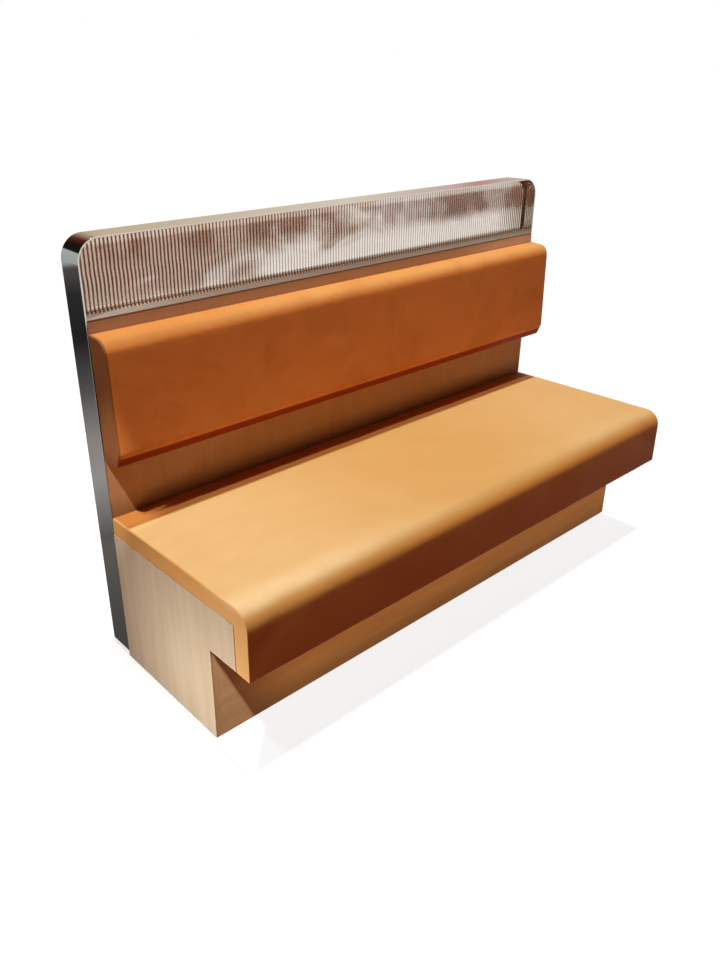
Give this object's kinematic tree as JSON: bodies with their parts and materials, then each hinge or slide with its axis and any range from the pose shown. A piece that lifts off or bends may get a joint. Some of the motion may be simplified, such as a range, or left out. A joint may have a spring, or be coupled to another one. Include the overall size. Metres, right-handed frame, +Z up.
{
  "type": "restaurant booth bench",
  "caption": "Straight restaurant booth bench: leather seat over an oak plinth with a toe space, leather back pad, bright metal band and a reeded glass screen.",
  "frame": {"origin": "on the floor, under the middle of the bench's bounding box", "axes": "+Z up, -Y is the front where people sit, +X along the bench to the sitter's left"},
  "size_m": [1.8, 0.694, 1.192],
  "materials": {
    "band_steel": "polished",
    "reeded_glass": "gloss",
    "gasket_rubber": "matte",
    "oak_veneer": "satin",
    "back_laminate": "satin",
    "plywood": "matte",
    "pine": "matte",
    "leather": "satin",
    "foam": "matte",
    "zinc_steel": "satin",
    "glide_plastic": "matte"
  },
  "bodies": {
    "root": {"metal_band": "band_steel", "window_sill": "band_steel", "reeded_glass": "reeded_glass", "glazing_gasket": "gasket_rubber", "back_front_board": "oak_veneer", "end_panel_left": "oak_veneer", "end_panel_right": "oak_veneer", "plinth_front_board": "oak_veneer", "soffit_board": "oak_veneer", "back_rear_board": "back_laminate", "seat_deck": "plywood", "apron_board": "plywood", "base_rear_board": "plywood", "inner_rib_left": "plywood", "inner_rib_centre": "plywood", "inner_rib_right": "plywood", "overhang_brackets": "plywood", "back_cushion_board": "plywood", "back_stile_left": "pine", "back_stile_right": "pine", "back_studs": "pine", "back_bottom_rail": "pine", "back_seat_rail": "pine", "back_cushion_rail": "pine", "back_top_rail": "pine", "end_battens": "pine", "corner_blocks": "pine", "seat_cover": "leather", "back_cushion_cover": "leather", "seat_foam": "foam", "back_cushion_foam": "foam", "cushion_bolts": "zinc_steel", "cushion_tee_nuts": "zinc_steel", "deck_screws": "zinc_steel", "joining_bolts": "zinc_steel", "joining_inserts": "zinc_steel", "glide_inserts": "zinc_steel", "floor_angles": "zinc_steel", "angle_screws": "zinc_steel"},
    "glide_pad_front_left": {"glide_pad_front_left": "glide_plastic"},
    "glide_stem_front_left": {"glide_stem_front_left": "zinc_steel"},
    "glide_pad_front_right": {"glide_pad_front_right": "glide_plastic"},
    "glide_stem_front_right": {"glide_stem_front_right": "zinc_steel"},
    "glide_pad_rear_left": {"glide_pad_rear_left": "glide_plastic"},
    "glide_stem_rear_left": {"glide_stem_rear_left": "zinc_steel"},
    "glide_pad_rear_right": {"glide_pad_rear_right": "glide_plastic"},
    "glide_stem_rear_right": {"glide_stem_rear_right": "zinc_steel"}
  },
  "joints": [
    {"name": "glide_front_left_drop", "type": "slide", "parent": "root", "child": "glide_pad_front_left", "axis": [0, 0, -1], "range_m": [0, 0.012]},
    {"name": "glide_front_left_turn", "type": "hinge", "parent": "glide_pad_front_left", "child": "glide_stem_front_left", "pos_m": [-0.852, -0.138, 0.02], "axis": [0, 0, -1], "range_deg": [0, 2880]},
    {"name": "glide_front_right_drop", "type": "slide", "parent": "root", "child": "glide_pad_front_right", "axis": [0, 0, -1], "range_m": [0, 0.012]},
    {"name": "glide_front_right_turn", "type": "hinge", "parent": "glide_pad_front_right", "child": "glide_stem_front_right", "pos_m": [0.852, -0.138, 0.02], "axis": [0, 0, -1], "range_deg": [0, 2880]},
    {"name": "glide_rear_left_drop", "type": "slide", "parent": "root", "child": "glide_pad_rear_left", "axis": [0, 0, -1], "range_m": [0, 0.012]},
    {"name": "glide_rear_left_turn", "type": "hinge", "parent": "glide_pad_rear_left", "child": "glide_stem_rear_left", "pos_m": [-0.852, 0.209, 0.02], "axis": [0, 0, -1], "range_deg": [0, 2880]},
    {"name": "glide_rear_right_drop", "type": "slide", "parent": "root", "child": "glide_pad_rear_right", "axis": [0, 0, -1], "range_m": [0, 0.012]},
    {"name": "glide_rear_right_turn", "type": "hinge", "parent": "glide_pad_rear_right", "child": "glide_stem_rear_right", "pos_m": [0.852, 0.209, 0.02], "axis": [0, 0, -1], "range_deg": [0, 2880]}
  ],
  "couplings": [
    {"joint": "glide_front_left_turn", "follows": "glide_front_left_drop", "rad_per_m": 4188.8},
    {"joint": "glide_front_right_turn", "follows": "glide_front_right_drop", "rad_per_m": 4188.8},
    {"joint": "glide_rear_left_turn", "follows": "glide_rear_left_drop", "rad_per_m": 4188.8},
    {"joint": "glide_rear_right_turn", "follows": "glide_rear_right_drop", "rad_per_m": 4188.8}
  ]
}
